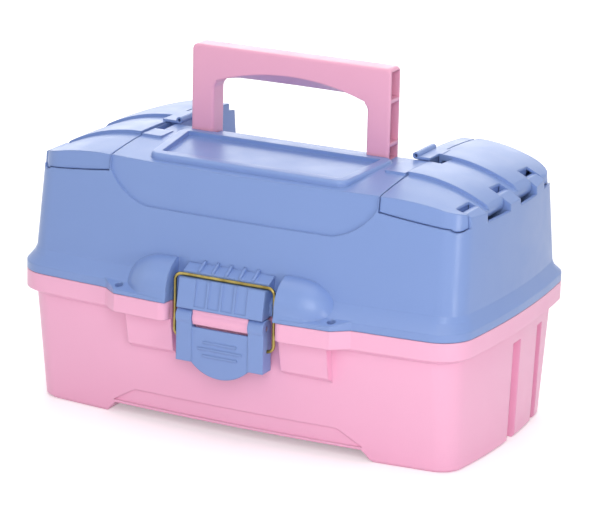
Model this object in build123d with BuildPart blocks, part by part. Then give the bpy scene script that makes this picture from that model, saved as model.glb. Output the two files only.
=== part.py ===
from build123d import *
import math
import os

# Tackle box: a two-part moulded case with a rear-hinged lid, an over-centre draw latch,
# two top bins with hinged covers, a fold-down handle and two level-lifting trays.
# Millimetres. +X to the right along the front, +Y to the back, +Z up, feet on z = 0.

# Plan outlines: half length and half depth at the corners, bowed sides outside them
front_bow = 8.7
end_bow = 7.0
rim_half_x = 171.6
rim_half_y = 97.1
rim_corner = 26.0
foot_half_x = 163.2
foot_half_y = 79.2
foot_corner = 17.0
wall_top_half_x = 165.4
wall_top_half_y = 90.5
wall_top_corner = 22.0
lid_foot_half_x = 166.6
lid_foot_half_y = 87.4
lid_top_half_x = 163.1
lid_top_half_y = 75.5
lid_corner = 19.0
shelf_half_x = 168.6
shelf_half_y = 91.0

# Heights
parting_height = 99.0
parting_gap = 0.3
rim_height = 17.0
flange_height = 11.5
flange_brow = 6.0
shelf_height = 4.2
lid_top_height = 209.0
foot_edge = 2.0
rim_roll = 4.0

# Walls and running gaps
wall = 2.5
rim_wall = 3.5
gap = 0.3
pin_clearance = 0.05

# Crown of the lid top: an even curve from front to back
crown_height = 196.1
crown_middle = -2.0
crown_radius = 485.0

# Lid zones
seam_x = 104.5
shoulder_x = 95.0
deck_rear = -3.0
well_floor_front = 174.0
well_floor_rear = 167.5
bin_floor = 158.5
partition = 2.5
ledge_inner = 178.7
ledge_middle = 174.6
ledge_middle_x = 137.0
bin_floor_wall = 2.5

# Lid front panel: the upper part sits a little deeper than the wall
panel_step = 1.8
panel_points = ((104.0, 181.0), (93.0, 168.0), (72.0, 158.4))

# Raised tray on the deck
tray_rear_y = -13.0
tray_front_y = -79.0
tray_rear_half = 85.0
tray_front_half = 76.5
tray_rim = 8.0
tray_rim_height = 196.4
tray_slope = 3.0
tray_sink = 3.4
tray_round = 9.0
tray_edge = 2.4
strip_inner = 88.0
strip_outer = 103.5
strip_front = -40.0
strip_top = 196.2
shoulder_rear = 75.0
finger_front = -21.0
finger_rear = 3.0
finger_inner = 96.5
finger_outer = 103.5
finger_depth = 6.0

# Top covers
step_front = -38.5
step_back = 12.0
step_lifts = ((0.0, 0.0), (2.4, 0.0), (2.4, 6.6))
cover_inset = 1.2
cover_wall = 2.3
cover_gap = 0.5
cover_axis_x = 160.0
cover_axis_z = 177.5
cover_roll = 6.0
roll_gap = 0.6
roll_start = 225.0
roll_ledge = 315.0
roll_end = 45.0
nose = 2.0
cover_pin_radius = 1.5
tower_spans = ((-68.0, -47.0), (-13.0, 4.0), (36.0, 53.0))
lug_sides = ((1,), (-1, 1), (-1,))
tower_radius = 5.2
tower_root = 160.0
tower_brow = 2.0
tower_fall = 4.0
tower_grip = 8.0
lug_width = 3.5
lug_radius = 5.6
cover_flat_x = 108.0
cover_far_x = 176.0
cover_bends = ((240.0, 102.0), (102.0, 102.0), (102.0, 102.0))
cover_root = 150.0
tab_front = -3.0
tab_rear = 26.0
tab_room = 1.0
tab_thick = 2.0
tab_reach = 94.0
tab_barrel = 2.4
tab_wall = 1.2
notch_reach = 114.5
notch_front = -5.0
notch_rear = 12.0

# Handle
handle_half = 78.2
handle_leg = 17.7
handle_depth = 16.5
handle_front = -13.8
handle_top = 260.0
handle_axis_y = -6.2
handle_axis_z = 184.0
handle_pin_radius = 2.5
grip_under = 235.0
grip_arch = 246.5
grip_arch_half = 58.5
grip_round = 7.0
handle_round = 4.0
handle_edge = 2.0
handle_wall = 2.4
channel_wall = 1.8
handle_rib = 2.6
rib_heights = (206.0, 237.0)
channel_bottom = 194.0
handle_foot_radius = 7.0
slot_gap = 0.9
slot_front = -15.5
slot_floor = 174.0
cheek = 4.0

# Latch
latch_half = 34.0
window_half = 22.0
window_bottom = 84.8
latch_front = -112.0
lever_axis_y = -106.5
lever_axis_z = 91.0
lever_top_radius = 6.6
lever_pin_radius = 1.75
lever_bottom = 59.5
lever_plate = 2.8
lever_back = -99.9
lever_sink = 0.8
grip_lines = ((75.0, 13.0), (70.3, 17.2), (65.3, 13.4))
grip_line = 1.6
grip_proud = 0.8
tongue_half = 22.6
tongue_bottom = 49.8
tongue_thick = 4.0
boss_radius = 5.5
boss_front = -111.0
boss_foot = 86.8
boss_head = 97.4
boss_root = 76.0
bail_wire = 1.2
bail_half = 38.7
bail_axis_y = -105.5
bail_axis_z = 74.5
bail_top = 120.0
bail_bend = 5.0
keeper_half = 33.4
keeper_front = -113.3
keeper_bottom = 98.0
rib_places = (-21.0, -10.5, 0.0, 10.5, 21.0)
rib_width = 2.0
rib_proud = 1.2
keeper_lip = 2.0
keeper_back = -95.0
keeper_brow = -109.4
saddle_height = 118.5
saddle_back = -103.9
keeper_head = 122.0
keeper_top = 126.0
pocket_half = 41.5
pocket_back = -98.5
pocket_lid_back = -102.5

# Pods and padlock ears either side of the latch
pod_inner = 42.0
pod_outer = 82.0
pod_front = -115.0
ear_front = -112.5
ear_corner_x = 84.0
ear_end = 98.0
ear_hole_x = 82.8
ear_hole_y = -106.6
ear_hole_radius = 2.85
ear_top = 108.0
ear_brow_y = -96.0
ear_lip = 1.5
pod_top = 128.0
pod_brow_z = 105.0
pod_root = -88.0
pod_brow_y = -113.5
pod_bend_y = -109.0
pod_bend_z = 120.0
pod_head_y = -97.0
pod_stations = (0.0, 0.4, 0.7, 0.9, 1.0)
pod_close = 0.97
ear_root = -101.5
ear_round = 6.0
base_pod_bottom = 57.0
base_pod_front = -106.0
base_pod_foot = -101.0

# Lid hinge
hinge_y = 107.5
hinge_z = parting_height
hinge_radius = 4.3
hinge_pin_radius = 1.6
hinge_place = 110.0
knuckle = 14.0
side_knuckle = 9.0
hinge_root = 98.0

# Tray linkage: arms lie nearly level when shut and turn with the lid
arm_rest = math.radians(184.0)
lower_reach = 55.0
upper_reach = 95.0
front_axis_y = 49.8
front_axis_z = 84.0
rear_axis_y = 75.0
rear_axis_z = 68.0
arm_half = 5.0
arm_thick = 2.2
front_arm_x = 153.4
arm_pin_radius = 2.0
pin_head_radius = 3.6
pin_head = 1.5
boss_half = 5.6
arm_gap = 0.2
flat_head = 0.6
pin_grip = 5.0
hanger_half = 7.0
hanger_thick = 4.5

# Trays
tray_half_x = 148.0
tray_wall = 2.0
tray_corner = 14.0
tray_draft = 3.0
lower_front = -76.0
lower_back = 62.0
lower_floor = 60.0
lower_top = 92.0
upper_front = -74.0
upper_back = 60.0
upper_floor = 95.0
upper_top = 125.0
divider = 1.6
lower_cells = 4
upper_cells = 6
tray_split = -8.0
ear_gap = 0.7

# End-wall grooves and front arch of the base
groove_places = (7.0, 53.0)
groove_widths = (14.0, 11.0)
groove_depth = 6.0
groove_top = 74.0
arch_half = 106.0
arch_height = 8.5
arch_bevel = 8.0
relief_foot_half = 99.0
relief_bottom = 10.5
relief_half = 80.0
relief_top = 22.0
relief_depth = 1.2

lid_bottom = parting_height + parting_gap
flange_top = parting_height + flange_height
lid_foot = flange_top + shelf_height
rim_bottom = parting_height - rim_height
base_pod_outer = ear_hole_x - ear_hole_radius - 4 * gap
rear_arm_x = front_arm_x - flat_head - 2 * arm_gap - arm_thick
handle_inner = handle_half - handle_leg
handle_pin_start = handle_inner - slot_gap - cheek / 2
handle_pin_end = handle_half + slot_gap + cheek / 2
base_boss_x = front_arm_x + arm_thick + arm_gap
rear_boss_x = rear_arm_x + arm_thick + arm_gap


def crown(y):
    """Height of the lid's crowned top at a depth."""
    return crown_height - (y - crown_middle) ** 2 / (2 * crown_radius)


def outline(height, half_x, half_y, corner):
    """One bowed, round-cornered plan outline at a height."""
    with BuildSketch(Plane.XY.offset(height)) as section:
        with BuildLine():
            ThreePointArc((-half_x, -half_y), (0, -half_y - front_bow), (half_x, -half_y))
            ThreePointArc((half_x, -half_y), (half_x + end_bow, 0), (half_x, half_y))
            ThreePointArc((half_x, half_y), (0, half_y + front_bow), (-half_x, half_y))
            ThreePointArc((-half_x, half_y), (-half_x - end_bow, 0), (-half_x, -half_y))
        make_face()
        fillet(section.vertices(), corner)
    return section.sketch


def slab(x, y, z, mode=Mode.ADD):
    """A box between two x, two y and two z values."""
    with Locations(((x[0] + x[1]) / 2, (y[0] + y[1]) / 2, (z[0] + z[1]) / 2)):
        Box(x[1] - x[0], y[1] - y[0], z[1] - z[0], mode=mode)


def rod_x(x, y, z, radius, mode=Mode.ADD):
    """A round bar along X from x[0] to x[1]."""
    with BuildSketch(Plane.YZ.offset(x[0])) as end:
        with Locations((y, z)):
            Circle(radius)
    extrude(end.sketch, amount=x[1] - x[0], mode=mode)


def rod_y(x, y, z, radius, mode=Mode.ADD):
    """A round bar along Y from y[0] to y[1]."""
    with BuildSketch(Plane.XZ.offset(-y[1])) as end:
        with Locations((x, z)):
            Circle(radius)
    extrude(end.sketch, amount=y[1] - y[0], mode=mode)


def rod_z(x, y, z, radius, mode=Mode.ADD):
    """A round bar along Z from z[0] to z[1]."""
    with BuildSketch(Plane.XY.offset(z[0])) as end:
        with Locations((x, y)):
            Circle(radius)
    extrude(end.sketch, amount=z[1] - z[0], mode=mode)


def save(part, name):
    """Names a finished piece and writes it."""
    part.label = name
    export_step(part, f"parts/{name}.step")


def arm_point(axis_y, axis_z, reach):
    """Place of a pivot at a reach along an arm in its shut position."""
    return axis_y + reach * math.cos(arm_rest), axis_z + reach * math.sin(arm_rest)


os.makedirs("parts", exist_ok=True)
sides = (-1, 1)
front_low = arm_point(front_axis_y, front_axis_z, lower_reach)
front_high = arm_point(front_axis_y, front_axis_z, upper_reach)
rear_low = arm_point(rear_axis_y, rear_axis_z, lower_reach)
hanger_y, hanger_z = arm_point(hinge_y, hinge_z, upper_reach)

# Lugs of a cover beside its towers, and the pins that run from each tower into its lugs
lug_spans = []
cover_pin_spans = []
for span, ends in zip(tower_spans, lug_sides):
    reach = [span[1] - tower_grip, span[0] + tower_grip]
    for end in ends:
        face = span[0] if end < 0 else span[1]
        lug = sorted((face + end * gap, face + end * (gap + lug_width)))
        lug_spans.append(lug)
        reach.append(lug[0] if end < 0 else lug[1])
    cover_pin_spans.append((min(reach), max(reach)))


# Lower case
def base_form(inset, mode=Mode.ADD):
    """Walls of the lower case up to the rim, drawn in by an even inset."""
    sole_inset = foot_edge + inset
    sole = outline(0, foot_half_x - sole_inset, foot_half_y - sole_inset, foot_corner)
    foot = outline(foot_edge, foot_half_x - inset, foot_half_y - inset, foot_corner)
    top = outline(rim_bottom, wall_top_half_x - inset, wall_top_half_y - inset, wall_top_corner)
    loft([sole, foot, top], ruled=True, mode=mode)


def rim_form(inset, top, mode=Mode.ADD):
    """Rolled rim of the lower case, drawn in by an even inset."""
    root = outline(rim_bottom, wall_top_half_x - inset, wall_top_half_y - inset, wall_top_corner)
    roll = outline(rim_bottom + rim_roll, rim_half_x - inset, rim_half_y - inset, rim_corner)
    edge = outline(top, rim_half_x - inset, rim_half_y - inset, rim_corner)
    loft([root, roll, edge], ruled=True, mode=mode)


def ear_plates(bottom, top, mode=Mode.ADD):
    """Rim swellings either side of the latch that carry the pods and padlock ears."""
    for side in sides:
        with BuildSketch(Plane.XY.offset(bottom)) as plan:
            with BuildLine():
                Polyline(
                    (side * pod_inner, pod_root),
                    (side * pod_inner, pod_front),
                    (side * ear_corner_x, ear_front),
                    (side * ear_end, ear_root),
                    (side * ear_end, pod_root),
                    close=True,
                )
            make_face()
            fillet(plan.vertices().group_by(Axis.Y)[0], ear_round)
        extrude(plan.sketch, amount=top - bottom, mode=mode)


def groove_wedge(side, place, width, inset, mode=Mode.ADD):
    """Upright groove in an end wall, with its floor kept parallel to the wall."""
    bow = end_bow * (1 - (place / foot_half_y) ** 2)
    floor_x = foot_half_x + bow - groove_depth - inset
    lean = (wall_top_half_x - foot_half_x) * groove_top / rim_bottom
    far_x = rim_half_x + end_bow + wall
    with BuildSketch(Plane.XZ.offset(-place)) as profile:
        with BuildLine():
            Polyline(
                (side * floor_x, -wall),
                (side * (floor_x + lean), groove_top - groove_depth / 2 + inset),
                (side * (floor_x + lean + groove_depth), groove_top + inset),
                (side * far_x, groove_top + inset),
                (side * far_x, -wall),
                close=True,
            )
        make_face()
    extrude(profile.sketch, amount=width / 2 + inset, both=True, mode=mode)


with BuildPart() as base_relief:
    with BuildSketch(Plane.XZ):
        with BuildLine():
            Polyline(
                (-relief_foot_half, relief_bottom),
                (-relief_half, relief_top),
                (relief_half, relief_top),
                (relief_foot_half, relief_bottom),
                close=True,
            )
        make_face()
    extrude(amount=rim_half_y + front_bow)
    base_form(relief_depth, Mode.SUBTRACT)

with BuildPart() as base_hollow:
    base_form(wall)
    slab((-rim_half_x, rim_half_x), (-rim_half_y, rim_half_y), (0, wall), Mode.SUBTRACT)
    slab(
        (-arch_half - wall, arch_half + wall),
        (-rim_half_y, rim_half_y),
        (0, arch_height + wall),
        Mode.SUBTRACT,
    )
    rim_form(rim_wall, parting_height + wall)
    slab(
        (-pocket_half - wall, pocket_half + wall),
        (pod_front, pocket_back + wall),
        (lever_bottom, parting_height + wall),
        Mode.SUBTRACT,
    )
    for side in sides:
        for place, width in zip(groove_places, groove_widths):
            groove_wedge(side, place, width, wall, Mode.SUBTRACT)
        wall_x = side * (rim_half_x + end_bow)
        rod_x(sorted((side * base_boss_x, wall_x)), front_axis_y, front_axis_z, boss_half, Mode.SUBTRACT)
        rod_x(sorted((side * rear_boss_x, wall_x)), rear_axis_y, rear_axis_z, boss_half, Mode.SUBTRACT)

with BuildPart() as base_shell:
    base_form(0)
    rim_form(0, parting_height)
    ear_plates(rim_bottom + rim_roll, parting_height)
    for side in sides:
        with BuildSketch(Plane.YZ.offset(side * pod_inner)):
            with BuildLine():
                Polyline(
                    (pod_root, base_pod_bottom - rim_roll),
                    (base_pod_foot, base_pod_bottom + rim_roll),
                    (base_pod_front, rim_bottom + rim_roll),
                    (pod_root, rim_bottom + rim_roll),
                    close=True,
                )
            make_face()
        extrude(amount=side * (base_pod_outer - pod_inner))
    add(base_hollow.part, mode=Mode.SUBTRACT)
    add(base_relief.part, mode=Mode.SUBTRACT)
    with BuildSketch(Plane.XZ):
        with BuildLine():
            Polyline(
                (-arch_half, 0),
                (-arch_half + arch_bevel, arch_height),
                (arch_half - arch_bevel, arch_height),
                (arch_half, 0),
                close=True,
            )
        make_face()
    extrude(amount=rim_half_y + front_bow, both=True, mode=Mode.SUBTRACT)
    slab(
        (-pocket_half, pocket_half),
        (pod_front - wall, pocket_back),
        (lever_bottom, parting_height),
        Mode.SUBTRACT,
    )
    for side in sides:
        for place, width in zip(groove_places, groove_widths):
            groove_wedge(side, place, width, 0, Mode.SUBTRACT)
        rod_z(
            side * ear_hole_x,
            ear_hole_y,
            (rim_bottom, parting_height),
            ear_hole_radius,
            Mode.SUBTRACT,
        )
        pin_end = side * (base_boss_x + pin_grip)
        front_hole = sorted((side * base_boss_x, pin_end))
        rod_x(front_hole, front_axis_y, front_axis_z, arm_pin_radius, Mode.SUBTRACT)
        rear_hole = sorted((side * rear_boss_x, pin_end))
        rod_x(rear_hole, rear_axis_y, rear_axis_z, arm_pin_radius, Mode.SUBTRACT)
    boss_span = (-window_half + gap, window_half - gap)
    rod_x(boss_span, lever_axis_y, lever_axis_z, boss_radius)
    slab(boss_span, (lever_axis_y, pocket_back + wall / 2), (boss_root, boss_head))
    slab(boss_span, (boss_front, lever_axis_y), (boss_foot, boss_head))
    rod_x(boss_span, lever_axis_y, lever_axis_z, lever_pin_radius, Mode.SUBTRACT)
    for side in sides:
        lid_part = sorted(side * (hinge_place + end) for end in (-knuckle / 2 - gap, knuckle / 2 + gap))
        rod_x(lid_part, hinge_y, hinge_z, hinge_radius + gap, Mode.SUBTRACT)
        for end in sides:
            near = side * (hinge_place + end * (knuckle / 2 + gap))
            far = side * (hinge_place + end * (knuckle / 2 + gap + side_knuckle))
            span = sorted((near, far))
            rod_x(span, hinge_y, hinge_z, hinge_radius)
            slab(span, (hinge_root, hinge_y), (hinge_z - hinge_radius, hinge_z - gap))
            rod_x(span, hinge_y, hinge_z, hinge_pin_radius, Mode.SUBTRACT)
save(base_shell.part, "base_shell")


# Lid
def lid_wall(inset, top=lid_top_height, mode=Mode.ADD):
    """Tapering walls of the lid above the flange, drawn in by an even inset."""
    foot = outline(lid_foot, lid_foot_half_x - inset, lid_foot_half_y - inset, lid_corner)
    head = outline(top, lid_top_half_x - inset, lid_top_half_y - inset, lid_corner)
    loft([foot, head], ruled=True, mode=mode)


def lid_flange(inset, bottom, mode=Mode.ADD):
    """Rolled flange of the lid, drawn in by an even inset."""
    edge = outline(bottom, rim_half_x - inset, rim_half_y - inset, rim_corner)
    brow = outline(parting_height + flange_brow, rim_half_x - inset, rim_half_y - inset, rim_corner)
    shelf = outline(flange_top, shelf_half_x - inset, shelf_half_y - inset, rim_corner)
    foot = outline(lid_foot, lid_foot_half_x - inset, lid_foot_half_y - inset, lid_corner)
    loft([edge, brow, shelf, foot], ruled=True, mode=mode)


def above_crown(half_x, lower, rear, mode=Mode.ADD):
    """Space above the crown, lowered by an offset, over the middle of the lid."""
    front = -rim_half_y - front_bow
    count = 6
    places = [front + (rear - front) * step / count for step in range(count + 1)]
    with BuildSketch(Plane.YZ) as profile:
        with BuildLine():
            top = Spline(*[(y, crown(y) - lower) for y in places])
            Polyline(top @ 1, (rear, lid_top_height + wall), (front, lid_top_height + wall), top @ 0)
        make_face()
    extrude(profile.sketch, amount=half_x, both=True, mode=mode)


def handle_well(half_x, lower, front, mode=Mode.ADD):
    """Space above the sloping floor of the handle well."""
    rear = rim_half_y + front_bow
    with BuildSketch(Plane.YZ) as profile:
        with BuildLine():
            Polyline(
                (front, well_floor_front - lower),
                (rear, well_floor_rear - lower),
                (rear, lid_top_height + wall),
                (front, lid_top_height + wall),
                close=True,
            )
        make_face()
    extrude(profile.sketch, amount=half_x, both=True, mode=mode)


def roll_point(side, roll, angle):
    """Point on the round that is struck about a cover's hinge axis."""
    turn = math.radians(angle)
    return side * (cover_axis_x + roll * math.cos(turn)), cover_axis_z + roll * math.sin(turn)


def above_ledge(side, mode=Mode.ADD):
    """Space above the lid's seam with a top cover, round about the cover's hinge axis."""
    roll = cover_roll + roll_gap
    far_x = rim_half_x + end_bow
    with BuildSketch(Plane.XZ) as profile:
        with BuildLine():
            ThreePointArc(
                (side * seam_x, ledge_inner),
                (side * ledge_middle_x, ledge_middle),
                roll_point(side, roll, roll_start),
            )
            ThreePointArc(
                roll_point(side, roll, roll_start),
                roll_point(side, roll, (roll_start + roll_ledge) / 2),
                roll_point(side, roll, roll_ledge),
            )
            Polyline(
                roll_point(side, roll, roll_ledge),
                (side * far_x, roll_point(side, roll, roll_ledge)[1]),
                (side * far_x, lid_top_height + wall),
                (side * seam_x, lid_top_height + wall),
                (side * seam_x, ledge_inner),
            )
        make_face()
    extrude(profile.sketch, amount=rim_half_y + front_bow, both=True, mode=mode)


def cover_bounds(side, inner, mode=Mode.ADD):
    """Space that a top cover may fill: above its seam, round about its hinge axis."""
    crest_x, crest_z = roll_point(side, cover_roll, roll_end)
    rise = lid_top_height - crest_z
    with BuildSketch(Plane.XZ) as profile:
        with BuildLine():
            ThreePointArc(
                (side * inner, ledge_inner + cover_gap),
                (side * ledge_middle_x, ledge_middle + cover_gap),
                roll_point(side, cover_roll, roll_start),
            )
            ThreePointArc(
                roll_point(side, cover_roll, roll_start),
                roll_point(side, cover_roll, (roll_start + roll_end + 360) / 2),
                (crest_x, crest_z),
            )
            Polyline(
                (crest_x, crest_z),
                (crest_x - side * rise / math.tan(math.radians(roll_end)), lid_top_height),
                (side * inner, lid_top_height),
                (side * inner, ledge_inner + cover_gap),
            )
        make_face()
    extrude(profile.sketch, amount=rim_half_y + front_bow, both=True, mode=mode)


def towers(side, mode=Mode.ADD):
    """Three hinge towers of a top cover, round at the top and flush with the lid's end wall."""
    near_x = cover_axis_x - tower_radius
    far_x = rim_half_x + end_bow
    top = cover_axis_z + tower_radius
    for span in tower_spans:
        rod_y(side * cover_axis_x, span, cover_axis_z, tower_radius, mode)
        with BuildSketch(Plane.XZ.offset(-span[1])) as leg:
            with BuildLine():
                Polyline(
                    (side * near_x, tower_root),
                    (side * near_x, cover_axis_z),
                    (side * cover_axis_x, top),
                    (side * (cover_axis_x + tower_brow), top),
                    (side * far_x, cover_axis_z - tower_fall),
                    (side * far_x, tower_root),
                    close=True,
                )
            make_face()
        extrude(leg.sketch, amount=span[1] - span[0], mode=mode)


with BuildPart() as front_recess:
    with BuildSketch(Plane.XZ):
        with BuildLine():
            right = ThreePointArc(*panel_points)
            left = ThreePointArc(*[(-x, z) for x, z in reversed(panel_points)])
            Line(right @ 1, left @ 0)
            corners = [(-panel_points[0][0], lid_top_height), (panel_points[0][0], lid_top_height)]
            Polyline(left @ 1, *corners, right @ 0)
        make_face()
    extrude(amount=rim_half_y + front_bow)
    lid_wall(panel_step, mode=Mode.SUBTRACT)

with BuildPart() as ledge_space:
    for side in sides:
        above_ledge(side)
        towers(side, Mode.SUBTRACT)

tray_middle = (tray_front_y + tray_rear_y) / 2
tray_tilt = math.radians(tray_slope)
tray_plane = Plane(
    origin=(0, tray_middle, tray_rim_height),
    x_dir=(1, 0, 0),
    z_dir=(0, -math.sin(tray_tilt), math.cos(tray_tilt)),
)
half_run = (tray_rear_y - tray_front_y) / 2
with BuildSketch(tray_plane) as tray_plan:
    with BuildLine():
        Polyline(
            (-tray_front_half, -half_run),
            (tray_front_half, -half_run),
            (tray_rear_half, half_run),
            (-tray_rear_half, half_run),
            close=True,
        )
    make_face()
    fillet(tray_plan.vertices(), tray_round)
with BuildSketch(tray_plane) as tray_opening:
    offset(tray_plan.sketch_local, amount=-tray_rim)

with BuildPart() as deck_tray:
    extrude(tray_plan.sketch, amount=-tray_rim)
    fillet(deck_tray.faces().sort_by(Axis.Z)[-1].edges(), tray_edge)

with BuildPart() as tray_backing:
    extrude(tray_plan.sketch, amount=-tray_sink - wall)

with BuildPart() as tray_recess:
    extrude(tray_opening.sketch, amount=-tray_sink)

with BuildPart() as lid_hollow:
    lid_flange(rim_wall, parting_height - wall)
    lid_wall(wall)
    bin_inner = seam_x - cover_gap
    mid_half = bin_inner - partition
    above_crown(mid_half, wall, rim_half_y, Mode.SUBTRACT)
    handle_well(shoulder_x + wall, wall, deck_rear - wall, Mode.SUBTRACT)
    deep = (-rim_half_y - front_bow, rim_half_y + front_bow)
    for side in sides:
        across = sorted((side * mid_half, side * (rim_half_x + end_bow)))
        slab(across, deep, (bin_floor - bin_floor_wall, bin_floor), Mode.SUBTRACT)
        screen = sorted((side * mid_half, side * bin_inner))
        slab(screen, deep, (bin_floor, lid_top_height), Mode.SUBTRACT)
        towers(side, Mode.SUBTRACT)
        housing = sorted((side * (handle_inner - slot_gap - cheek), side * (handle_half + slot_gap + cheek)))
        slab(housing, (slot_front - cheek, deck_rear), (slot_floor - cheek, crown_height), Mode.SUBTRACT)
        web = sorted((side * base_boss_x, side * (rim_half_x + end_bow)))
        slab(web, (hanger_y - wall, hanger_y + wall), (flange_top, bin_floor), Mode.SUBTRACT)
    add(tray_backing.part, mode=Mode.SUBTRACT)
    slab(
        (-bin_inner, -finger_inner + wall),
        (finger_front - wall, finger_rear + wall),
        (crown_height - finger_depth - wall, crown_height),
        Mode.SUBTRACT,
    )
    slab(
        (-pocket_half - wall, pocket_half + wall),
        (pod_front, pocket_lid_back + wall),
        (parting_height - wall, lid_foot),
        Mode.SUBTRACT,
    )


def pod_section(place):
    """Side profile of a pod, closing in towards its outer end."""
    swell = math.sqrt(1 - (pod_close * place) ** 3)

    def point(y, z):
        return pod_root + (y - pod_root) * swell, lid_bottom + (z - lid_bottom) * swell

    with BuildSketch(Plane.YZ.offset(pod_inner + (pod_outer - pod_inner) * place)) as profile:
        with BuildLine():
            Polyline(point(pod_root, lid_bottom), point(pod_front, lid_bottom), point(pod_brow_y, pod_brow_z))
            ThreePointArc(
                point(pod_brow_y, pod_brow_z), point(pod_bend_y, pod_bend_z), point(pod_head_y, pod_top)
            )
            Polyline(point(pod_head_y, pod_top), point(pod_root, pod_top), point(pod_root, lid_bottom))
        make_face()
    return profile.sketch


with BuildPart() as lid_pods:
    loft([pod_section(place) for place in pod_stations])
    mirror(about=Plane.YZ)

with BuildPart() as lid_ears:
    ear_plates(lid_bottom, ear_top)
    with BuildSketch(Plane.YZ):
        with BuildLine():
            Polyline(
                (ear_brow_y, ear_top),
                (pod_front - wall, lid_bottom + ear_lip),
                (pod_front - wall, ear_top + wall),
                (ear_brow_y, ear_top + wall),
                close=True,
            )
        make_face()
    extrude(amount=ear_end + wall, both=True, mode=Mode.SUBTRACT)


def along_span(y, span, ends):
    """A value that runs evenly from the front end to the rear end of one span of the stepped top."""
    far = rim_half_y + front_bow
    stops = (-far, step_front, step_back, far)
    return ends[0] + (ends[1] - ends[0]) * (y - stops[span]) / (stops[span + 1] - stops[span])


def cover_height(y, span):
    """Height of one span of the stepped top."""
    return crown(y) + along_span(y, span, step_lifts[span])


with BuildPart() as lid_shoulders:
    shoulder_front = tab_rear + tab_room
    count = 4
    places = [shoulder_front + (shoulder_rear - shoulder_front) * step / count for step in range(count + 1)]
    with BuildSketch(Plane.YZ.offset(shoulder_x)):
        with BuildLine():
            top = Spline(*[(y, cover_height(y, 2)) for y in places])
            base = strip_top - finger_depth
            Polyline(top @ 1, (shoulder_rear, base), (shoulder_front, base), top @ 0)
        make_face()
    extrude(amount=seam_x - shoulder_x)
    mirror(about=Plane.YZ)
    for side, rear in zip(sides, (finger_front - tab_room, tab_front - tab_room)):
        strip = sorted((side * strip_inner, side * strip_outer))
        slab(strip, (strip_front, rear), (strip_top - finger_depth, strip_top))

with BuildPart() as lid_shell:
    lid_flange(0, lid_bottom)
    lid_wall(0)
    above_crown(seam_x, 0, rim_half_y + front_bow, Mode.SUBTRACT)
    add(ledge_space.part, mode=Mode.SUBTRACT)
    handle_well(shoulder_x, 0, deck_rear, Mode.SUBTRACT)
    add(front_recess.part, mode=Mode.SUBTRACT)
    add(lid_pods.part)
    add(lid_ears.part)
    add(deck_tray.part)
    add(lid_shoulders.part)
    add(lid_hollow.part, mode=Mode.SUBTRACT)
    add(tray_recess.part, mode=Mode.SUBTRACT)
    slab(
        (-finger_outer, -finger_inner),
        (finger_front, finger_rear),
        (crown_height - finger_depth, lid_top_height),
        Mode.SUBTRACT,
    )
    for side in sides:
        slot = sorted((side * (handle_inner - slot_gap), side * (handle_half + slot_gap)))
        slab(slot, (slot_front, deck_rear), (slot_floor, lid_top_height), Mode.SUBTRACT)
        pin = sorted((side * handle_pin_start, side * handle_pin_end))
        rod_x(pin, handle_axis_y, handle_axis_z, handle_pin_radius, Mode.SUBTRACT)
        rod_z(side * ear_hole_x, ear_hole_y, (lid_bottom, ear_top), ear_hole_radius, Mode.SUBTRACT)
        plate = sorted((side * base_boss_x, side * (base_boss_x + hanger_thick)))
        rod_x(plate, hanger_y, hanger_z, hanger_half)
        slab(plate, (hanger_y - hanger_half, hanger_y + hanger_half), (hanger_z, bin_floor - wall))
        rod_x(plate, hanger_y, hanger_z, arm_pin_radius, Mode.SUBTRACT)
        for bore in cover_pin_spans:
            rod_y(side * cover_axis_x, bore, cover_axis_z, cover_pin_radius, Mode.SUBTRACT)
        for end in sides:
            near = side * (hinge_place + end * knuckle / 2)
            far = side * (hinge_place + end * (knuckle / 2 + side_knuckle + 2 * gap))
            rod_x(sorted((near, far)), hinge_y, hinge_z, hinge_radius + gap, Mode.SUBTRACT)
        span = sorted(side * (hinge_place + end * knuckle / 2) for end in sides)
        rod_x(span, hinge_y, hinge_z, hinge_radius)
        slab(span, (hinge_root, hinge_y), (lid_bottom, lid_bottom + hinge_radius))
        rod_x(span, hinge_y, hinge_z, hinge_pin_radius + pin_clearance, Mode.SUBTRACT)
    slab(
        (-pocket_half, pocket_half),
        (pod_front - wall, pocket_lid_back),
        (lid_bottom, lid_foot),
        Mode.SUBTRACT,
    )
    with BuildSketch(Plane.YZ):
        with BuildLine():
            Polyline(
                (pocket_back - gap, keeper_bottom),
                (keeper_front, keeper_bottom),
                (keeper_brow, saddle_height),
                (saddle_back, saddle_height),
                (saddle_back, keeper_head),
                (keeper_back, keeper_top),
                (keeper_back, lid_bottom),
                (pocket_back - gap, lid_bottom),
                close=True,
            )
        make_face()
    extrude(amount=keeper_half, both=True)
    for near, far in zip(rib_places, rib_places[1:]):
        with BuildSketch(Plane.YZ.offset(near + rib_width / 2)):
            with BuildLine():
                Polyline(
                    (keeper_front - rib_proud, keeper_bottom + keeper_lip),
                    (keeper_front + rib_proud, keeper_bottom + keeper_lip),
                    (keeper_brow + rib_proud, saddle_height),
                    (keeper_brow - rib_proud, saddle_height),
                    close=True,
                )
            make_face()
        extrude(amount=far - near - rib_width, mode=Mode.SUBTRACT)
    for place in rib_places:
        with BuildSketch(Plane.YZ.offset(place - rib_width / 2)):
            with BuildLine():
                Polyline(
                    (saddle_back, saddle_height),
                    (saddle_back, keeper_head + rib_proud),
                    (keeper_back, keeper_top + 2 * rib_proud),
                    (keeper_back, saddle_height),
                    close=True,
                )
            make_face()
        extrude(amount=rib_width)
save(lid_shell.part, "lid_shell")


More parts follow.
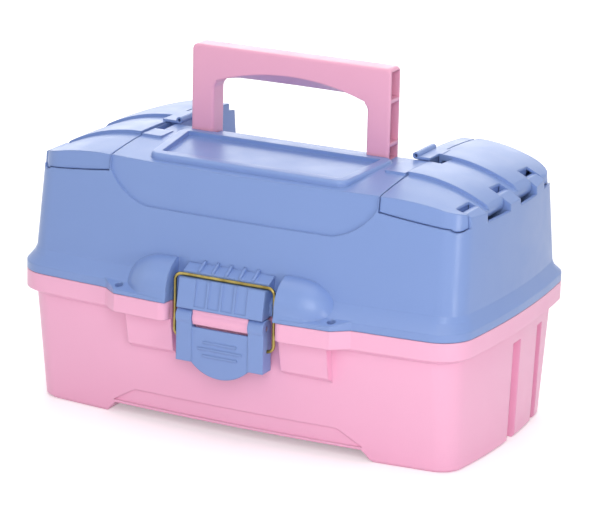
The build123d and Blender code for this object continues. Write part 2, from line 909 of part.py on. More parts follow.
# Top covers
def cover_section(side, y, height, bend, inner):
    """One cross profile of a cover's top: level, then falling away to the hinge end."""

    def fall(x):
        return height - (x - cover_flat_x) ** 2 / (2 * bend)

    middle_x = (cover_flat_x + cover_far_x) / 2
    with BuildSketch(Plane.XZ.offset(-y)) as profile:
        with BuildLine():
            Polyline(
                (side * cover_far_x, fall(cover_far_x)),
                (side * cover_far_x, cover_root),
                (side * inner, cover_root),
                (side * inner, height),
                (side * cover_flat_x, height),
            )
            ThreePointArc(
                (side * cover_flat_x, height),
                (side * middle_x, fall(middle_x)),
                (side * cover_far_x, fall(cover_far_x)),
            )
        make_face()
    return profile.sketch


def cover_top(side, lower, inner):
    """Three stepped spans of a cover, front to back; each step stands up from the span before."""
    far = rim_half_y + front_bow
    stops = (-far, step_front + lower, step_back + lower, far)
    for span, (front, rear) in enumerate(zip(stops, stops[1:])):
        sections = []
        for y in (front, (front + rear) / 2, rear):
            bend = along_span(y, span, cover_bends[span])
            sections.append(cover_section(side, y, cover_height(y, span) - lower, bend, inner))
        loft(sections)


def top_cover(side, finger_notch):
    """One hinged cover over a bin in the lid's top."""
    inner = seam_x + cover_gap
    with BuildPart() as hollow:
        cover_top(side, cover_wall, inner + cover_wall)
        lid_wall(cover_inset + cover_wall, mode=Mode.INTERSECT)
        deep = (-rim_half_y - front_bow, rim_half_y + front_bow)
        across = sorted((side * inner, side * (cover_axis_x - nose)))
        slab(across, deep, (cover_root, lid_top_height), Mode.INTERSECT)
        stem = sorted((side * (cover_axis_x - lug_radius), side * (cover_axis_x + lug_radius)))
        for lug in lug_spans:
            rod_y(side * cover_axis_x, lug, cover_axis_z, lug_radius, Mode.SUBTRACT)
            slab(stem, lug, (cover_axis_z, lid_top_height), Mode.SUBTRACT)
    with BuildPart() as cover:
        cover_top(side, 0, inner)
        lid_wall(cover_inset, mode=Mode.INTERSECT)
        cover_bounds(side, inner, Mode.INTERSECT)
        add(hollow.part, mode=Mode.SUBTRACT)
        leaf = sorted((side * tab_reach, side * (inner + cover_wall)))
        leaf_bottom = crown_height + cover_gap
        slab(leaf, (tab_front, tab_rear), (leaf_bottom, leaf_bottom + tab_thick))
        barrel = leaf_bottom + tab_barrel
        rod_y(side * tab_reach, (tab_front, tab_rear), barrel, tab_barrel)
        rod_y(side * tab_reach, (tab_front, tab_rear), barrel, tab_barrel - tab_wall, Mode.SUBTRACT)
        if finger_notch:
            bite = sorted((side * inner, side * notch_reach))
            slab(bite, (notch_front, notch_rear), (ledge_inner, lid_top_height), Mode.SUBTRACT)
        outer = sorted((side * (cover_axis_x - tower_radius - cover_gap), side * cover_far_x))
        for front, rear in tower_spans:
            slab(outer, (front - gap, rear + gap), (cover_root, lid_top_height), Mode.SUBTRACT)
        for bore in cover_pin_spans:
            bore_radius = cover_pin_radius + pin_clearance
            rod_y(side * cover_axis_x, bore, cover_axis_z, bore_radius, Mode.SUBTRACT)
    return cover.part


def cover_pins(side):
    """Three short pins pressed through the hinge towers of one cover."""
    with BuildPart() as pins:
        for span in cover_pin_spans:
            rod_y(side * cover_axis_x, span, cover_axis_z, cover_pin_radius)
    return pins.part


for side, hand in zip(sides, ("left", "right")):
    save(top_cover(side, side > 0), f"{hand}_top_cover")
    save(cover_pins(side), f"{hand}_cover_pins")

# Handle: a U frame with open channels in the outer faces of its legs
with BuildPart() as handle:
    handle_plane = Plane.XZ.offset(-handle_front)
    with BuildSketch(handle_plane) as frame:
        with BuildLine():
            Polyline(
                (-handle_half, handle_axis_z),
                (-handle_half, handle_top),
                (handle_half, handle_top),
                (handle_half, handle_axis_z),
                (handle_inner, handle_axis_z),
                (handle_inner, grip_under),
                (-handle_inner, grip_under),
                (-handle_inner, handle_axis_z),
                close=True,
            )
        make_face()
        fillet(frame.vertices().group_by(Axis.Y)[-1], handle_round)
        corners = frame.vertices().filter_by_position(Axis.Y, grip_under - gap, grip_under + gap)
        fillet(corners, grip_round)
    extrude(amount=-handle_depth)
    faces = handle.faces().sort_by(Axis.Y)
    rims = faces[0].edges() + faces[-1].edges()
    fillet(rims.filter_by_position(Axis.Z, handle_axis_z + gap, handle_top + gap), handle_edge)
    scoop = []
    for depth, arch in ((-handle_edge, grip_arch), (handle_depth, grip_under + gap)):
        with BuildSketch(Plane.XZ.offset(-handle_front - depth)) as profile:
            with BuildLine():
                ThreePointArc((-grip_arch_half, grip_under), (0, arch), (grip_arch_half, grip_under))
                Polyline(
                    (grip_arch_half, grip_under),
                    (grip_arch_half, grip_under - grip_round),
                    (-grip_arch_half, grip_under - grip_round),
                    (-grip_arch_half, grip_under),
                )
            make_face()
        scoop.append(profile.sketch)
    loft(scoop, ruled=True, mode=Mode.SUBTRACT)
    for side in sides:
        leg = sorted((side * handle_inner, side * handle_half))
        rod_x(leg, handle_axis_y, handle_axis_z, handle_foot_radius)
        channel = sorted((side * (handle_inner + handle_wall), side * handle_half))
        deep = (handle_front + channel_wall, handle_front + handle_depth - channel_wall)
        stops = (channel_bottom, *rib_heights, handle_top - handle_wall + handle_rib / 2)
        for low, high in zip(stops, stops[1:]):
            slab(channel, deep, (low + handle_rib / 2, high - handle_rib / 2), Mode.SUBTRACT)
        rod_x(leg, handle_axis_y, handle_axis_z, handle_pin_radius + pin_clearance, Mode.SUBTRACT)
save(handle.part, "handle")

with BuildPart() as handle_pins:
    for side in sides:
        pin = sorted((side * handle_pin_start, side * handle_pin_end))
        rod_x(pin, handle_axis_y, handle_axis_z, handle_pin_radius)
save(handle_pins.part, "handle_pins")

# Latch lever: front plate between two cheeks, window over the pivot boss, rounded tongue below
with BuildPart() as latch_lever:
    with BuildSketch(Plane.YZ):
        with Locations((lever_axis_y, lever_axis_z)):
            Circle(lever_top_radius)
        with BuildLine():
            Polyline(
                (latch_front, lever_axis_z),
                (latch_front, lever_bottom),
                (lever_back, lever_bottom),
                (lever_back, lever_axis_z),
                close=True,
            )
        make_face()
    extrude(amount=latch_half, both=True)
    slab(
        (-window_half, window_half),
        (latch_front + lever_plate, lever_back),
        (lever_bottom, lever_axis_z + lever_top_radius),
        Mode.SUBTRACT,
    )
    slab(
        (-window_half, window_half),
        (latch_front - lever_plate, lever_back),
        (window_bottom, lever_axis_z + lever_top_radius),
        Mode.SUBTRACT,
    )
    panel_front = latch_front + lever_sink
    slab(
        (-window_half, window_half),
        (latch_front - lever_plate, panel_front),
        (lever_bottom, window_bottom),
        Mode.SUBTRACT,
    )
    tongue_top = lever_bottom + lever_plate
    with BuildSketch(Plane.XZ.offset(-panel_front)):
        with BuildLine():
            ThreePointArc((-tongue_half, lever_bottom), (0, tongue_bottom), (tongue_half, lever_bottom))
            Polyline(
                (tongue_half, lever_bottom),
                (tongue_half, tongue_top),
                (-tongue_half, tongue_top),
                (-tongue_half, lever_bottom),
            )
        make_face()
    extrude(amount=-tongue_thick)
    for height, half in grip_lines:
        line = (height - grip_line / 2, height + grip_line / 2)
        slab((-half, half), (panel_front - grip_proud, panel_front + grip_proud), line)
    cheeks = (-latch_half, latch_half)
    rod_x(cheeks, lever_axis_y, lever_axis_z, lever_pin_radius + pin_clearance, Mode.SUBTRACT)
    rod_x(cheeks, bail_axis_y, bail_axis_z, bail_wire + pin_clearance, Mode.SUBTRACT)
save(latch_lever.part, "latch_lever")

with BuildPart() as latch_pivot_pin:
    rod_x((-latch_half + gap, latch_half - gap), lever_axis_y, lever_axis_z, lever_pin_radius)
save(latch_pivot_pin.part, "latch_pivot_pin")

with BuildPart() as latch_bail:
    bail_end = (window_half + latch_half) / 2
    with BuildLine() as wire:
        FilletPolyline(
            (-bail_end, bail_axis_y, bail_axis_z),
            (-bail_half, bail_axis_y, bail_axis_z),
            (-bail_half, bail_axis_y, bail_top),
            (bail_half, bail_axis_y, bail_top),
            (bail_half, bail_axis_y, bail_axis_z),
            (bail_end, bail_axis_y, bail_axis_z),
            radius=bail_bend,
        )
    with BuildSketch(Plane.YZ.offset(-bail_end)):
        with Locations((bail_axis_y, bail_axis_z)):
            Circle(bail_wire)
    sweep()
save(latch_bail.part, "latch_bail")

# Lid hinge pins
for side, hand in zip(sides, ("left", "right")):
    with BuildPart() as hinge_pin:
        reach = knuckle / 2 + gap + side_knuckle
        span = sorted((side * (hinge_place - reach), side * (hinge_place + reach)))
        rod_x(span, hinge_y, hinge_z, hinge_pin_radius)
    save(hinge_pin.part, f"{hand}_hinge_pin")


# Trays
def tray_box(front, back, low, top, inset, mode=Mode.ADD):
    """Round-cornered tapering box of a tray, drawn in by an inset."""
    middle = (front + back) / 2
    ends = []
    for height, draft in ((low, tray_draft), (top, 0)):
        with BuildSketch(Plane.XY.offset(height)) as section:
            with Locations((0, middle)):
                shrink = 2 * (inset + draft)
                RectangleRounded(2 * tray_half_x - shrink, back - front - shrink, tray_corner - inset)
        ends.append(section.sketch)
    loft(ends, ruled=True, mode=mode)


def tray_ear(side, y, z):
    """Flat ear that hangs from the upper tray's end, outside the lower tray."""
    plate = sorted((side * (tray_half_x + ear_gap), side * (front_arm_x - arm_gap)))
    root = sorted((side * (tray_half_x - 2 * tray_draft), side * (front_arm_x - arm_gap)))
    rod_x(plate, y, z, boss_half)
    slab(plate, (y - boss_half, y + boss_half), (z, upper_floor + 2 * boss_half))
    slab(root, (y - boss_half, y + boss_half), (upper_floor + tray_wall, upper_floor + 2 * boss_half))


def dividers(front, back, low, top, cells):
    """Loose upright plates that stand on a tray's floor between its walls."""
    step = 2 * (tray_half_x - tray_wall) / cells
    lanes = (
        (front + tray_wall + tray_draft + gap, tray_split - divider / 2 - gap),
        (tray_split + divider / 2 + gap, back - tray_wall - tray_draft - gap),
    )
    with BuildPart() as plates:
        for number in range(1, cells):
            place = -tray_half_x + tray_wall + number * step
            for lane in lanes:
                slab((place - divider / 2, place + divider / 2), lane, (low + tray_wall, top - tray_wall))
    return plates.part


with BuildPart() as lower_tray:
    tray_box(lower_front, lower_back, lower_floor, lower_top, 0)
    for side in sides:
        for arm_x, point in ((front_arm_x, front_low), (rear_arm_x, rear_low)):
            boss = sorted((side * (tray_half_x - 2 * tray_draft), side * (arm_x - arm_gap)))
            rod_x(boss, *point, boss_half)
    tray_box(lower_front, lower_back, lower_floor + tray_wall, lower_top, tray_wall, Mode.SUBTRACT)
    slab(
        (-tray_half_x + tray_wall + tray_draft / 2, tray_half_x - tray_wall - tray_draft / 2),
        (tray_split - divider / 2, tray_split + divider / 2),
        (lower_floor, lower_top - tray_wall),
    )
    for side in sides:
        for arm_x, point in ((front_arm_x, front_low), (rear_arm_x, rear_low)):
            hole = sorted((side * (tray_half_x - ear_gap), side * (arm_x - arm_gap)))
            rod_x(hole, *point, arm_pin_radius, Mode.SUBTRACT)
save(lower_tray.part, "lower_tray")
lower_plates = dividers(lower_front, lower_back, lower_floor, lower_top, lower_cells)
save(lower_plates, "lower_tray_dividers")

with BuildPart() as upper_tray:
    tray_box(upper_front, upper_back, upper_floor, upper_top, 0)
    for side in sides:
        for y, z in (front_high, (hanger_y, hanger_z)):
            tray_ear(side, y, z)
    tray_box(upper_front, upper_back, upper_floor + tray_wall, upper_top, tray_wall, Mode.SUBTRACT)
    slab(
        (-tray_half_x + tray_wall + tray_draft / 2, tray_half_x - tray_wall - tray_draft / 2),
        (tray_split - divider / 2, tray_split + divider / 2),
        (upper_floor, upper_top - tray_wall),
    )
    for side in sides:
        hole = sorted((side * (tray_half_x + ear_gap), side * (front_arm_x - arm_gap)))
        rod_x(hole, *front_high, arm_pin_radius, Mode.SUBTRACT)
        rod_x(hole, hanger_y, hanger_z, arm_pin_radius + pin_clearance, Mode.SUBTRACT)
save(upper_tray.part, "upper_tray")
upper_plates = dividers(upper_front, upper_back, upper_floor, upper_top, upper_cells)
save(upper_plates, "upper_tray_dividers")


# Tray arms and their pins
def tray_arm(side, inner_x, axis_y, axis_z, reaches):
    """Flat arm with a round end at each pivot and a running hole for each pin."""
    start = inner_x if side > 0 else -inner_x - arm_thick
    middle_y, middle_z = arm_point(axis_y, axis_z, reaches[-1] / 2)
    with BuildPart() as arm:
        with BuildSketch(Plane.YZ.offset(start)):
            with Locations((middle_y, middle_z)):
                SlotCenterToCenter(reaches[-1], 2 * arm_half, rotation=math.degrees(arm_rest))
            with Locations(*[arm_point(axis_y, axis_z, reach) for reach in (0, *reaches)]):
                Circle(arm_pin_radius + pin_clearance, mode=Mode.SUBTRACT)
        extrude(amount=arm_thick)
    return arm.part


def headed_pin(side, point, shank, head):
    """A pin along X with a flat round head at one end."""
    rod_x(sorted(side * x for x in shank), *point, arm_pin_radius)
    rod_x(sorted(side * x for x in head), *point, pin_head_radius)


for side, hand in zip(sides, ("left", "right")):
    front_arm = tray_arm(side, front_arm_x, front_axis_y, front_axis_z, (lower_reach, upper_reach))
    save(front_arm, f"{hand}_front_arm")
    save(tray_arm(side, rear_arm_x, rear_axis_y, rear_axis_z, (lower_reach,)), f"{hand}_rear_arm")

outer_head = (base_boss_x, base_boss_x + pin_head)
inner_head = (rear_arm_x - arm_gap - pin_head, rear_arm_x - arm_gap)
between_head = (rear_boss_x, rear_boss_x + flat_head)
with BuildPart() as base_arm_pins:
    for side in sides:
        pin_end = base_boss_x + pin_grip
        headed_pin(side, (front_axis_y, front_axis_z), (between_head[1], pin_end), between_head)
        headed_pin(side, (rear_axis_y, rear_axis_z), (inner_head[1], pin_end), inner_head)
save(base_arm_pins.part, "base_arm_pins")

with BuildPart() as lower_tray_pins:
    for side in sides:
        headed_pin(side, front_low, (tray_half_x - ear_gap, outer_head[0]), outer_head)
        headed_pin(side, rear_low, (tray_half_x - ear_gap, between_head[0]), between_head)
save(lower_tray_pins.part, "lower_tray_pins")

with BuildPart() as upper_tray_pins:
    for side in sides:
        headed_pin(side, front_high, (tray_half_x + ear_gap, outer_head[0]), outer_head)
save(upper_tray_pins.part, "upper_tray_pins")

with BuildPart() as hanger_pins:
    for side in sides:
        shank = sorted((side * (tray_half_x + ear_gap), side * (base_boss_x + hanger_thick)))
        rod_x(shank, hanger_y, hanger_z, arm_pin_radius)
save(hanger_pins.part, "hanger_pins")
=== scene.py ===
import math

import bmesh
import bpy
from mathutils import Matrix, Vector
from mathutils.bvhtree import BVHTree


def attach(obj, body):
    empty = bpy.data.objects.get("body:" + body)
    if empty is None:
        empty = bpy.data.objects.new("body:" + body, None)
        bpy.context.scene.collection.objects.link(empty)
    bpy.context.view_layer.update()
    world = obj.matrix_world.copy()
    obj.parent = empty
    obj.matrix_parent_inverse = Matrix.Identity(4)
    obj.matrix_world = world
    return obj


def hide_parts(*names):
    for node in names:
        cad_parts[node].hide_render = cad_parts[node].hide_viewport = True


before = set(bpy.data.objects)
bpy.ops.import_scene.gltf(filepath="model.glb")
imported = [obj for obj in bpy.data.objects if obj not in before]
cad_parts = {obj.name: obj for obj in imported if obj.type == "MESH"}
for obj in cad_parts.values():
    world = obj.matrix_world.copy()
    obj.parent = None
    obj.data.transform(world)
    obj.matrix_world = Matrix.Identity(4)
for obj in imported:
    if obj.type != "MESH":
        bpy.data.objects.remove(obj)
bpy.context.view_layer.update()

# Lower case: one pink shell with feet, rim, pods and padlock ears.
# Injection-moulded polypropylene with a fine satin grain, edges softened by the mould.
# It stands on its two feet and carries everything else.
EDGE_ANGLE = math.radians(16)
FLAT_ANGLE = math.radians(0.6)
WELD_GAP = 2e-6
SLIVER = 1e-6
SHELL_RADIUS = 0.0009
EDGE_ROUNDING = 0.0014
GRAIN_DEPTH = 0.0004
CASE_ROUGHNESS = 0.37
PINK = (0.89, 0.45, 0.635)
PINK_DEEP = (0.865, 0.425, 0.61)


def soft_edged(node, name, width, body):
    """A copy of a moulded piece with its hard edges rounded as the mould leaves them."""
    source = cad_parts[node]
    mesh = source.data.copy()
    mesh.name = name
    solid = bmesh.new()
    solid.from_mesh(mesh)
    bmesh.ops.remove_doubles(solid, verts=solid.verts, dist=WELD_GAP)
    bmesh.ops.dissolve_degenerate(solid, edges=solid.edges, dist=SLIVER)
    bmesh.ops.dissolve_limit(
        solid,
        angle_limit=FLAT_ANGLE,
        verts=solid.verts,
        edges=solid.edges,
    )
    for face in solid.faces:
        face.smooth = True
    for edge in solid.edges:
        edge.smooth = edge.calc_face_angle(0.0) < EDGE_ANGLE
    solid.to_mesh(mesh)
    solid.free()
    piece = bpy.data.objects.new(name, mesh)
    bpy.context.collection.objects.link(piece)
    bevel = piece.modifiers.new("mould_radius", "BEVEL")
    bevel.width = width
    bevel.segments = 2
    bevel.limit_method = "ANGLE"
    bevel.angle_limit = EDGE_ANGLE
    bevel.use_clamp_overlap = True
    bevel.harden_normals = True
    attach(piece, body)
    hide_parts(node)
    return piece


def moulded_plastic(name, colour, deep, roughness, grain=0.14):
    """Satin moulded plastic: slow cloudy colour, fine grain and faint flow marks."""
    material = bpy.data.materials.new(name)
    material.use_nodes = True
    nodes = material.node_tree.nodes
    links = material.node_tree.links
    shader = nodes["Principled BSDF"]
    shader.inputs["IOR"].default_value = 1.49
    shader.inputs["Specular IOR Level"].default_value = 0.5
    place = nodes.new("ShaderNodeTexCoord")
    cloud = nodes.new("ShaderNodeTexNoise")
    cloud.inputs["Scale"].default_value = 9.0
    cloud.inputs["Detail"].default_value = 3.0
    links.new(place.outputs["Object"], cloud.inputs["Vector"])
    tint = nodes.new("ShaderNodeValToRGB")
    tint.color_ramp.elements[0].position = 0.25
    tint.color_ramp.elements[0].color = (*deep, 1)
    tint.color_ramp.elements[1].position = 0.75
    tint.color_ramp.elements[1].color = (*colour, 1)
    links.new(cloud.outputs["Fac"], tint.inputs["Fac"])
    links.new(tint.outputs["Color"], shader.inputs["Base Color"])
    rub = nodes.new("ShaderNodeTexNoise")
    rub.inputs["Scale"].default_value = 60.0
    rub.inputs["Detail"].default_value = 4.0
    links.new(place.outputs["Object"], rub.inputs["Vector"])
    gloss = nodes.new("ShaderNodeMapRange")
    gloss.inputs["From Min"].default_value = 0.3
    gloss.inputs["From Max"].default_value = 0.7
    gloss.inputs["To Min"].default_value = roughness - 0.05
    gloss.inputs["To Max"].default_value = roughness + 0.06
    links.new(rub.outputs["Fac"], gloss.inputs["Value"])
    links.new(gloss.outputs["Result"], shader.inputs["Roughness"])
    pebble = nodes.new("ShaderNodeTexNoise")
    pebble.inputs["Scale"].default_value = 900.0
    pebble.inputs["Detail"].default_value = 2.0
    links.new(place.outputs["Object"], pebble.inputs["Vector"])
    bump = nodes.new("ShaderNodeBump")
    bump.inputs["Strength"].default_value = grain
    bump.inputs["Distance"].default_value = GRAIN_DEPTH
    links.new(pebble.outputs["Fac"], bump.inputs["Height"])
    rounding = nodes.new("ShaderNodeBevel")
    rounding.samples = 6
    rounding.inputs["Radius"].default_value = EDGE_ROUNDING
    links.new(rounding.outputs["Normal"], bump.inputs["Normal"])
    links.new(bump.outputs["Normal"], shader.inputs["Normal"])
    return material


def dress(piece, material):
    """Gives a piece one material."""
    piece.data.materials.clear()
    piece.data.materials.append(material)


pink_plastic = moulded_plastic("pink_case_plastic", PINK, PINK_DEEP, CASE_ROUGHNESS)
case = soft_edged("base_shell", "lower_case", SHELL_RADIUS, "base")
dress(case, pink_plastic)

# Hinge, latch and arm pins: short lengths of drawn steel rod, some with flat heads.
# Pressed into the case, the lid or a tray; their drawing marks run along the rod.
steel = bpy.data.materials.new("drawn_steel")
steel.use_nodes = True
steel_nodes = steel.node_tree.nodes
steel_links = steel.node_tree.links
steel_shader = steel_nodes["Principled BSDF"]
steel_shader.inputs["Metallic"].default_value = 1.0
steel_place = steel_nodes.new("ShaderNodeTexCoord")
steel_stretch = steel_nodes.new("ShaderNodeMapping")
steel_stretch.inputs["Scale"].default_value = (40.0, 900.0, 900.0)
steel_links.new(steel_place.outputs["Object"], steel_stretch.inputs["Vector"])
steel_marks = steel_nodes.new("ShaderNodeTexNoise")
steel_marks.inputs["Scale"].default_value = 1.0
steel_marks.inputs["Detail"].default_value = 4.0
steel_links.new(steel_stretch.outputs["Vector"], steel_marks.inputs["Vector"])
steel_tint = steel_nodes.new("ShaderNodeValToRGB")
steel_tint.color_ramp.elements[0].color = (0.46, 0.46, 0.48, 1)
steel_tint.color_ramp.elements[1].color = (0.64, 0.64, 0.66, 1)
steel_links.new(steel_marks.outputs["Fac"], steel_tint.inputs["Fac"])
steel_links.new(steel_tint.outputs["Color"], steel_shader.inputs["Base Color"])
steel_gloss = steel_nodes.new("ShaderNodeMapRange")
steel_gloss.inputs["To Min"].default_value = 0.26
steel_gloss.inputs["To Max"].default_value = 0.42
steel_links.new(steel_marks.outputs["Fac"], steel_gloss.inputs["Value"])
steel_links.new(steel_gloss.outputs["Result"], steel_shader.inputs["Roughness"])
steel_bump = steel_nodes.new("ShaderNodeBump")
steel_bump.inputs["Strength"].default_value = 0.08
steel_bump.inputs["Distance"].default_value = 0.0001
steel_links.new(steel_marks.outputs["Fac"], steel_bump.inputs["Height"])
steel_links.new(steel_bump.outputs["Normal"], steel_shader.inputs["Normal"])
PINS = (
    "left_hinge_pin",
    "right_hinge_pin",
    "latch_pivot_pin",
    "base_arm_pins",
    "lower_tray_pins",
    "upper_tray_pins",
    "hanger_pins",
    "handle_pins",
    "left_cover_pins",
    "right_cover_pins",
)
for node in PINS:
    dress(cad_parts[node], steel)

# Trays: two open pink trays with a fixed wall along the middle.
# Moulded a shade paler than the case; bosses and ears at their ends take the arm pins.
TRAY_PINK = (0.90, 0.50, 0.67)
TRAY_DEEP = (0.87, 0.47, 0.64)
TRAY_ROUGHNESS = 0.44
TRAY_RADIUS = 0.0005
tray_plastic = moulded_plastic("pink_tray_plastic", TRAY_PINK, TRAY_DEEP, TRAY_ROUGHNESS)
for node in ("lower_tray", "upper_tray"):
    tray = soft_edged(node, f"{node}_moulding", TRAY_RADIUS, node)
    dress(tray, tray_plastic)

# Dividers: loose upright plates that part the trays into compartments.
# Cut from milky plastic sheet and stood between the tray's walls.
MILKY = (0.74, 0.74, 0.79)
MILKY_DEEP = (0.68, 0.68, 0.74)
MILKY_ROUGHNESS = 0.38
PLATE_RADIUS = 0.0003
milky_plastic = moulded_plastic("milky_divider_plastic", MILKY, MILKY_DEEP, MILKY_ROUGHNESS)
for node in ("lower_tray", "upper_tray"):
    plates = soft_edged(
        f"{node}_dividers", f"{node}_plates", PLATE_RADIUS, node
    )
    dress(plates, milky_plastic)

# Tray arms: four flat blue links between the case, the trays and the lid.
# Moulded bars with a round end at each pin.
BLUE = (0.212, 0.315, 0.625)
BLUE_DEEP = (0.197, 0.297, 0.6)
BLUE_ROUGHNESS = 0.34
ARM_RADIUS = 0.0004
blue_plastic = moulded_plastic("blue_lid_plastic", BLUE, BLUE_DEEP, BLUE_ROUGHNESS)
for hand in ("left", "right"):
    for end in ("front", "rear"):
        link = f"{hand}_{end}"
        arm = soft_edged(f"{link}_arm", f"{link}_link", ARM_RADIUS, f"{end}_arms")
        dress(arm, blue_plastic)

# Lid: one blue shell with flange, pods, keeper, deck and bins.
# The same satin plastic, a shade of periwinkle; it hangs on the two rear hinges.
lid = soft_edged("lid_shell", "lid", SHELL_RADIUS, "lid")
dress(lid, blue_plastic)

# Top covers: stepped blue covers over the two bins, hinged at the ends of the lid.
# Moulded in the lid's plastic, each with a rolled finger tab at its inner edge.
# A thin wall closes the cover's hollow behind each of its three hinge notches.
COVER_RADIUS = 0.0008
NOTCH_SPANS = ((-0.0683, -0.0467), (-0.0133, 0.0043), (0.0357, 0.0533))
NOTCH_WALL = (0.1518, 0.1541)
NOTCH_FOOT = 0.1745
NOTCH_SINK = 0.0012
NOTCH_EDGE = 0.0002
PROBE_HEIGHT = 0.25
WALL_STEPS = 6


def notch_walls(cover, side):
    """Walls behind the notches of a cover, sunk a little into the underside of its top."""
    shell = bmesh.new()
    shell.from_mesh(cover.data)
    probe = BVHTree.FromBMesh(shell)
    for front, rear in NOTCH_SPANS:
        rows = []
        for step in range(WALL_STEPS + 1):
            y = front + (rear - front) * step / WALL_STEPS
            row = []
            for x in NOTCH_WALL:
                above = Vector((side * (x - NOTCH_EDGE), y, PROBE_HEIGHT))
                hit = probe.ray_cast(above, Vector((0, 0, -1)))[0]
                row.append(shell.verts.new((side * x, y, NOTCH_FOOT)))
                row.append(shell.verts.new((side * x, y, hit.z - NOTCH_SINK)))
            rows.append(row)
        walls = []
        for near, far in zip(rows, rows[1:]):
            for a, b in ((0, 1), (1, 3), (3, 2), (2, 0)):
                walls.append(shell.faces.new((near[a], near[b], far[b], far[a])))
        for end in (rows[0], rows[-1]):
            walls.append(shell.faces.new((end[0], end[2], end[3], end[1])))
        bmesh.ops.recalc_face_normals(shell, faces=walls)
    shell.to_mesh(cover.data)
    shell.free()


for hand, side in (("left", -1), ("right", 1)):
    lifted = f"{hand}_cover"
    cover = soft_edged(f"{hand}_top_cover", lifted, COVER_RADIUS, lifted)
    notch_walls(cover, side)
    dress(cover, blue_plastic)

# Latch lever: blue lever with cheeks, window, grip lines and tongue.
# Moulded in the lid's plastic, on a steel pin through the case's boss.
lever = soft_edged("latch_lever", "lever", COVER_RADIUS, "latch_lever")
dress(lever, blue_plastic)

# Latch bail: one bent brass wire, sprung into the lever's cheeks and hooked over the keeper.
# Drawn wire, a little dulled, with darker patches where hands have touched it.
brass = bpy.data.materials.new("brass_wire")
brass.use_nodes = True
brass_nodes = brass.node_tree.nodes
brass_links = brass.node_tree.links
brass_shader = brass_nodes["Principled BSDF"]
brass_shader.inputs["Metallic"].default_value = 1.0
brass_place = brass_nodes.new("ShaderNodeTexCoord")
brass_cloud = brass_nodes.new("ShaderNodeTexNoise")
brass_cloud.inputs["Scale"].default_value = 120.0
brass_cloud.inputs["Detail"].default_value = 5.0
brass_links.new(brass_place.outputs["Object"], brass_cloud.inputs["Vector"])
brass_tint = brass_nodes.new("ShaderNodeValToRGB")
brass_tint.color_ramp.elements[0].position = 0.3
brass_tint.color_ramp.elements[0].color = (0.25, 0.18, 0.05, 1)
brass_tint.color_ramp.elements[1].position = 0.7
brass_tint.color_ramp.elements[1].color = (0.46, 0.36, 0.12, 1)
brass_links.new(brass_cloud.outputs["Fac"], brass_tint.inputs["Fac"])
brass_links.new(brass_tint.outputs["Color"], brass_shader.inputs["Base Color"])
brass_gloss = brass_nodes.new("ShaderNodeMapRange")
brass_gloss.inputs["To Min"].default_value = 0.38
brass_gloss.inputs["To Max"].default_value = 0.24
brass_links.new(brass_cloud.outputs["Fac"], brass_gloss.inputs["Value"])
brass_links.new(brass_gloss.outputs["Result"], brass_shader.inputs["Roughness"])
brass_bump = brass_nodes.new("ShaderNodeBump")
brass_bump.inputs["Strength"].default_value = 0.1
brass_bump.inputs["Distance"].default_value = 0.0001
brass_links.new(brass_cloud.outputs["Fac"], brass_bump.inputs["Height"])
brass_links.new(brass_bump.outputs["Normal"], brass_shader.inputs["Normal"])
dress(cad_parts["latch_bail"], brass)

# Handle: pink U frame, a shade deeper than the case.
# Moulded with open channels in its legs, on two pins in the lid.
HANDLE_PINK = (0.83, 0.4, 0.56)
HANDLE_DEEP = (0.8, 0.375, 0.53)
HANDLE_RADIUS = 0.0007
handle_plastic = moulded_plastic(
    "pink_handle_plastic", HANDLE_PINK, HANDLE_DEEP, CASE_ROUGHNESS
)
handle = soft_edged("handle", "carry_handle", HANDLE_RADIUS, "handle")
dress(handle, handle_plastic)

# Stage: plain white floor, soft studio light and the camera at the photograph's angle.
# The floor lifts to white away from the box, and keeps the soft shadow close to it.
scene = bpy.context.scene
scene.view_settings.view_transform = "Standard"
PHOTO_WIDTH = 600
FOCAL_PIXELS = 3051.11
VIEW_AZIMUTH = math.radians(26.6322)
VIEW_HEIGHT = math.radians(16.5355)
VIEW_ROLL = math.radians(1.369)
VIEW_DISTANCE = 2.18942
VIEW_AIM = Vector((0.0, 0.0, 0.099))
AIM_RIGHT = 0.0042664
AIM_UP = 0.0117343
back = Vector(
    (
        math.sin(VIEW_AZIMUTH) * math.cos(VIEW_HEIGHT),
        -math.cos(VIEW_AZIMUTH) * math.cos(VIEW_HEIGHT),
        math.sin(VIEW_HEIGHT),
    )
)
level = Vector((math.cos(VIEW_AZIMUTH), math.sin(VIEW_AZIMUTH), 0))
upright = back.cross(level)
right = math.cos(VIEW_ROLL) * level + math.sin(VIEW_ROLL) * upright
up = math.cos(VIEW_ROLL) * upright - math.sin(VIEW_ROLL) * level
eye = VIEW_AIM + VIEW_DISTANCE * back + AIM_RIGHT * right + AIM_UP * up
lens = bpy.data.cameras.new("photo_camera")
lens.sensor_fit = "HORIZONTAL"
lens.sensor_width = 36.0
lens.lens = lens.sensor_width * FOCAL_PIXELS / PHOTO_WIDTH
lens.clip_end = 50.0
camera = bpy.data.objects.new("photo_camera", lens)
turn = Matrix((right, up, back)).transposed().to_4x4()
camera.matrix_world = Matrix.Translation(eye) @ turn
bpy.context.collection.objects.link(camera)
scene.camera = camera

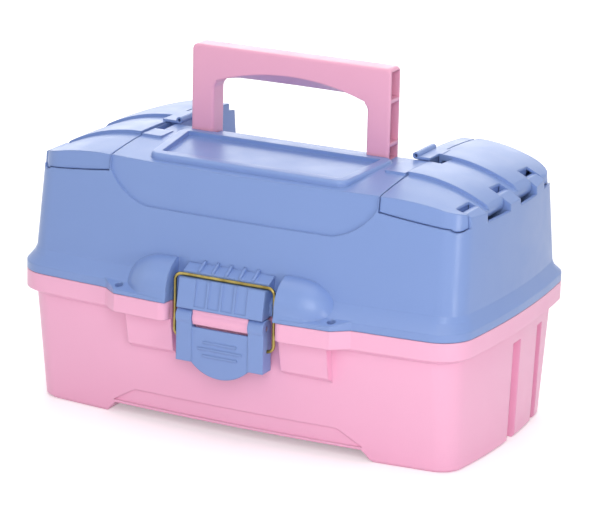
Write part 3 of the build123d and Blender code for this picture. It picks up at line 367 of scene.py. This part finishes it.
FLOOR_SPAN = 30.0
FADE_START = 0.5
FADE_END = 2.2
NEAR_LIFT = 0.3
FAR_LIFT = 0.65
SKY_LIGHT = 0.42
SKY_SEEN = 1.0
floor_mesh = bpy.data.meshes.new("floor")
half = FLOOR_SPAN / 2
floor_mesh.from_pydata(
    [(-half, -half, 0), (half, -half, 0), (half, half, 0), (-half, half, 0)], [], [(0, 1, 2, 3)]
)
floor = bpy.data.objects.new("floor", floor_mesh)
bpy.context.collection.objects.link(floor)
floor_paper = bpy.data.materials.new("floor_paper")
floor_paper.use_nodes = True
paper_nodes = floor_paper.node_tree.nodes
paper_links = floor_paper.node_tree.links
paper = paper_nodes["Principled BSDF"]
paper.inputs["Base Color"].default_value = (0.92, 0.92, 0.92, 1)
paper.inputs["Roughness"].default_value = 0.9
paper.inputs["Specular IOR Level"].default_value = 0.0
paper.inputs["Emission Color"].default_value = (1, 1, 1, 1)
paper_paths = paper_nodes.new("ShaderNodeLightPath")
paper_seen = paper_nodes.new("ShaderNodeMath")
paper_seen.operation = "MAXIMUM"
paper_links.new(paper_paths.outputs["Is Camera Ray"], paper_seen.inputs[0])
paper_links.new(paper_paths.outputs["Is Glossy Ray"], paper_seen.inputs[1])
paper_lift = paper_nodes.new("ShaderNodeMath")
paper_lift.operation = "MULTIPLY"
paper_links.new(paper_seen.outputs["Value"], paper_lift.inputs[0])
paper_spot = paper_nodes.new("ShaderNodeNewGeometry")
paper_reach = paper_nodes.new("ShaderNodeVectorMath")
paper_reach.operation = "LENGTH"
paper_links.new(paper_spot.outputs["Position"], paper_reach.inputs[0])
paper_fade = paper_nodes.new("ShaderNodeMapRange")
paper_fade.inputs["From Min"].default_value = FADE_START
paper_fade.inputs["From Max"].default_value = FADE_END
paper_fade.inputs["To Min"].default_value = NEAR_LIFT
paper_fade.inputs["To Max"].default_value = FAR_LIFT
paper_links.new(paper_reach.outputs["Value"], paper_fade.inputs["Value"])
paper_links.new(paper_fade.outputs["Result"], paper_lift.inputs[1])
paper_links.new(paper_lift.outputs["Value"], paper.inputs["Emission Strength"])
floor_mesh.materials.append(floor_paper)


def area_light(name, place, aim, size, power):
    """A square soft box that faces a point."""
    lamp = bpy.data.lights.new(name, "AREA")
    lamp.size = size
    lamp.energy = power
    box = bpy.data.objects.new(name, lamp)
    box.location = place
    box.rotation_euler = (Vector(aim) - Vector(place)).to_track_quat("-Z", "Y").to_euler()
    bpy.context.collection.objects.link(box)


area_light("key_box", (0.5, -0.95, 0.65), (0.08, 0, 0.12), 0.6, 5.0)
area_light("side_strip", (1.25, -0.65, 0.16), (0.1, 0, 0.12), 0.2, 2.4)
area_light("fill_box", (-1.4, -1.2, 0.9), (0, 0, 0.1), 1.2, 3.4)
area_light("top_box", (0.0, 0.2, 2.0), (0, 0, 0.1), 1.8, 16)
area_light("back_box", (-0.8, 1.6, 0.95), (0, 0, 0.15), 1.5, 12.5)
world = bpy.data.worlds.new("studio")
scene.world = world
world.use_nodes = True
sky_nodes = world.node_tree.nodes
sky_links = world.node_tree.links
sky = sky_nodes["Background"]
sky.inputs["Color"].default_value = (1, 1, 1, 1)
paths = sky_nodes.new("ShaderNodeLightPath")
seen = sky_nodes.new("ShaderNodeMath")
seen.operation = "MAXIMUM"
sky_links.new(paths.outputs["Is Camera Ray"], seen.inputs[0])
sky_links.new(paths.outputs["Is Glossy Ray"], seen.inputs[1])
through = sky_nodes.new("ShaderNodeMath")
through.operation = "MAXIMUM"
sky_links.new(seen.outputs["Value"], through.inputs[0])
sky_links.new(paths.outputs["Is Transmission Ray"], through.inputs[1])
level_of_light = sky_nodes.new("ShaderNodeMapRange")
level_of_light.inputs["To Min"].default_value = SKY_LIGHT
level_of_light.inputs["To Max"].default_value = SKY_SEEN
sky_links.new(through.outputs["Value"], level_of_light.inputs["Value"])
sky_links.new(level_of_light.outputs["Result"], sky.inputs["Strength"])
